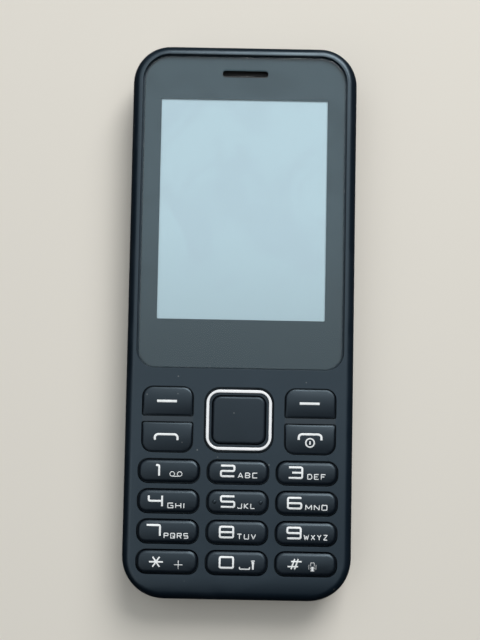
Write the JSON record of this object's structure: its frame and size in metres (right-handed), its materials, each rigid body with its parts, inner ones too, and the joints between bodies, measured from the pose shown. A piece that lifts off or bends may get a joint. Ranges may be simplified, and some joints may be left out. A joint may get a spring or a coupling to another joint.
{
  "type": "bar keypad mobile phone",
  "caption": "Slim black bar phone with a colour screen, a five-way pad and a number keypad, taken apart into its shells, keys, board, display, battery and sockets.",
  "frame": {"origin": "middle of the footprint, on the flat back face of the battery cover", "axes": "+Z out of the screen, +Y towards the earpiece along the length, +X to the right seen from the front"},
  "size_m": [0.0498, 0.1218, 0.0126],
  "materials": {
    "satin_black": "satin moulded",
    "inner_black": "fine spark texture",
    "cover_black": "fine moulded texture",
    "key_black": "satin",
    "screen_lens": "polished",
    "tape_black": "matt",
    "mesh_steel": "woven",
    "module_black": "matt",
    "panel_glass": "polished",
    "light_guide": "clear",
    "pressed_steel": "rolled",
    "flex_amber": "film",
    "board_green": "lacquered",
    "dome_film": "film",
    "silicone": "matt",
    "bright_trim": "bright satin plating",
    "battery_wrap": "printed film",
    "contact_gold": "plated",
    "window_glass": "polished",
    "lamp_white": "moulded",
    "pipe_clear": "clear",
    "screw_steel": "blackened"
  },
  "bodies": {
    "root": {"antenna": "contact_gold", "battery_contacts": "contact_gold", "board_chips": "module_black", "camera_module": "module_black", "camera_window": "window_glass", "display_backlight": "light_guide", "display_flex": "flex_amber", "display_panel": "panel_glass", "display_tray": "pressed_steel", "dome_sheet": "dome_film", "earpiece": "module_black", "earpiece_mesh": "mesh_steel", "front_housing": "satin_black", "headset_jack": "inner_black", "housing_screws": "screw_steel", "keypad_mat": "silicone", "lens_tape": "tape_black", "loudspeaker": "module_black", "loudspeaker_mesh": "mesh_steel", "main_board": "board_green", "memory_socket": "pressed_steel", "microphone": "pressed_steel", "rear_housing": "inner_black", "screen_lens": "screen_lens", "shield_cans": "pressed_steel", "sim_sockets": "pressed_steel", "torch_lamp": "lamp_white", "torch_lens": "pipe_clear", "usb_socket": "pressed_steel", "vibration_motor": "pressed_steel"},
    "key_1": {"key_1": "key_black"},
    "key_2": {"key_2": "key_black"},
    "key_3": {"key_3": "key_black"},
    "key_4": {"key_4": "key_black"},
    "key_5": {"key_5": "key_black"},
    "key_6": {"key_6": "key_black"},
    "key_7": {"key_7": "key_black"},
    "key_8": {"key_8": "key_black"},
    "key_9": {"key_9": "key_black"},
    "key_star": {"key_star": "key_black"},
    "key_0": {"key_0": "key_black"},
    "key_hash": {"key_hash": "key_black"},
    "soft_key_left": {"soft_key_left": "key_black"},
    "soft_key_right": {"soft_key_right": "key_black"},
    "call_key": {"call_key": "key_black"},
    "end_key": {"end_key": "key_black"},
    "select_key": {"select_key": "key_black"},
    "nav_studs": {"nav_studs": "silicone"},
    "nav_ring": {"nav_ring": "key_black", "nav_trim": "bright_trim"},
    "battery": {"battery": "battery_wrap"},
    "battery_cover": {"battery_cover": "cover_black"}
  },
  "joints": [
    {"name": "key_1_press", "type": "slide", "parent": "root", "child": "key_1", "axis": [0, 0, -1], "range_m": [0, 0.0003], "stiffness_N_per_m": 4000, "deforming": ["keypad_mat"]},
    {"name": "key_2_press", "type": "slide", "parent": "root", "child": "key_2", "axis": [0, 0, -1], "range_m": [0, 0.0003], "stiffness_N_per_m": 4000, "deforming": ["keypad_mat"]},
    {"name": "key_3_press", "type": "slide", "parent": "root", "child": "key_3", "axis": [0, 0, -1], "range_m": [0, 0.0003], "stiffness_N_per_m": 4000, "deforming": ["keypad_mat"]},
    {"name": "key_4_press", "type": "slide", "parent": "root", "child": "key_4", "axis": [0, 0, -1], "range_m": [0, 0.0003], "stiffness_N_per_m": 4000, "deforming": ["keypad_mat"]},
    {"name": "key_5_press", "type": "slide", "parent": "root", "child": "key_5", "axis": [0, 0, -1], "range_m": [0, 0.0003], "stiffness_N_per_m": 4000, "deforming": ["keypad_mat"]},
    {"name": "key_6_press", "type": "slide", "parent": "root", "child": "key_6", "axis": [0, 0, -1], "range_m": [0, 0.0003], "stiffness_N_per_m": 4000, "deforming": ["keypad_mat"]},
    {"name": "key_7_press", "type": "slide", "parent": "root", "child": "key_7", "axis": [0, 0, -1], "range_m": [0, 0.0003], "stiffness_N_per_m": 4000, "deforming": ["keypad_mat"]},
    {"name": "key_8_press", "type": "slide", "parent": "root", "child": "key_8", "axis": [0, 0, -1], "range_m": [0, 0.0003], "stiffness_N_per_m": 4000, "deforming": ["keypad_mat"]},
    {"name": "key_9_press", "type": "slide", "parent": "root", "child": "key_9", "axis": [0, 0, -1], "range_m": [0, 0.0003], "stiffness_N_per_m": 4000, "deforming": ["keypad_mat"]},
    {"name": "key_star_press", "type": "slide", "parent": "root", "child": "key_star", "axis": [0, 0, -1], "range_m": [0, 0.0003], "stiffness_N_per_m": 4000, "deforming": ["keypad_mat"]},
    {"name": "key_0_press", "type": "slide", "parent": "root", "child": "key_0", "axis": [0, 0, -1], "range_m": [0, 0.0003], "stiffness_N_per_m": 4000, "deforming": ["keypad_mat"]},
    {"name": "key_hash_press", "type": "slide", "parent": "root", "child": "key_hash", "axis": [0, 0, -1], "range_m": [0, 0.0003], "stiffness_N_per_m": 4000, "deforming": ["keypad_mat"]},
    {"name": "soft_key_left_press", "type": "slide", "parent": "root", "child": "soft_key_left", "axis": [0, 0, -1], "range_m": [0, 0.0003], "stiffness_N_per_m": 4000, "deforming": ["keypad_mat"]},
    {"name": "soft_key_right_press", "type": "slide", "parent": "root", "child": "soft_key_right", "axis": [0, 0, -1], "range_m": [0, 0.0003], "stiffness_N_per_m": 4000, "deforming": ["keypad_mat"]},
    {"name": "call_key_press", "type": "slide", "parent": "root", "child": "call_key", "axis": [0, 0, -1], "range_m": [0, 0.0003], "stiffness_N_per_m": 4000, "deforming": ["keypad_mat"]},
    {"name": "end_key_press", "type": "slide", "parent": "root", "child": "end_key", "axis": [0, 0, -1], "range_m": [0, 0.0003], "stiffness_N_per_m": 4000, "deforming": ["keypad_mat"]},
    {"name": "select_key_press", "type": "slide", "parent": "root", "child": "select_key", "axis": [0, 0, -1], "range_m": [0, 0.0003], "stiffness_N_per_m": 4000, "deforming": ["keypad_mat"]},
    {"name": "nav_tilt_up_down", "type": "hinge", "parent": "root", "child": "nav_studs", "pos_m": [0, -0.02176, 0.0104], "axis": [1, 0, 0], "range_deg": [-2, 2], "stiffness_Nm_per_rad": 0.3, "deforming": ["keypad_mat", "dome_sheet"]},
    {"name": "nav_tilt_left_right", "type": "hinge", "parent": "nav_studs", "child": "nav_ring", "pos_m": [0, -0.02176, 0.0104], "axis": [0, 1, 0], "range_deg": [-2, 2], "stiffness_Nm_per_rad": 0.3, "deforming": ["keypad_mat", "dome_sheet"]},
    {"name": "battery_lift_out", "type": "slide", "parent": "root", "child": "battery", "axis": [0, 0, -1], "range_m": [0, 0.012]},
    {"name": "cover_lift_off", "type": "slide", "parent": "battery", "child": "battery_cover", "axis": [0, 0, -1], "range_m": [0, 0.012]}
  ]
}
